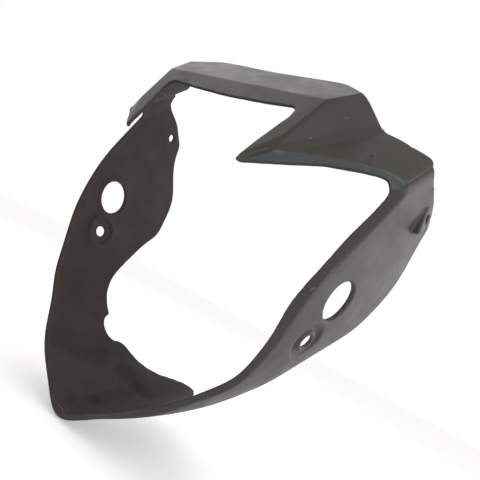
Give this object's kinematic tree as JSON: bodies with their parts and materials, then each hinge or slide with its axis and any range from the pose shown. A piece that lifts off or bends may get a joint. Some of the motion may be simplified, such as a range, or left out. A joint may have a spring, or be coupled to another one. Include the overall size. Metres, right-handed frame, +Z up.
{
  "type": "headlight cowl",
  "caption": "One-piece plastic cowl that frames a motorbike headlight, with a faceted brow, two pointed brow ends and curved side walls.",
  "frame": {"origin": "midway between the two big side holes, on their common axis", "axes": "+X to the right seen from the front, along the side holes' axis; +Y to the rear, so the lamp opening faces -Y; +Z up"},
  "size_m": [0.2408, 0.1405, 0.2581],
  "materials": {
    "body": "satin"
  },
  "bodies": {
    "root": {"headlight_cowl": "body"}
  },
  "joints": []
}
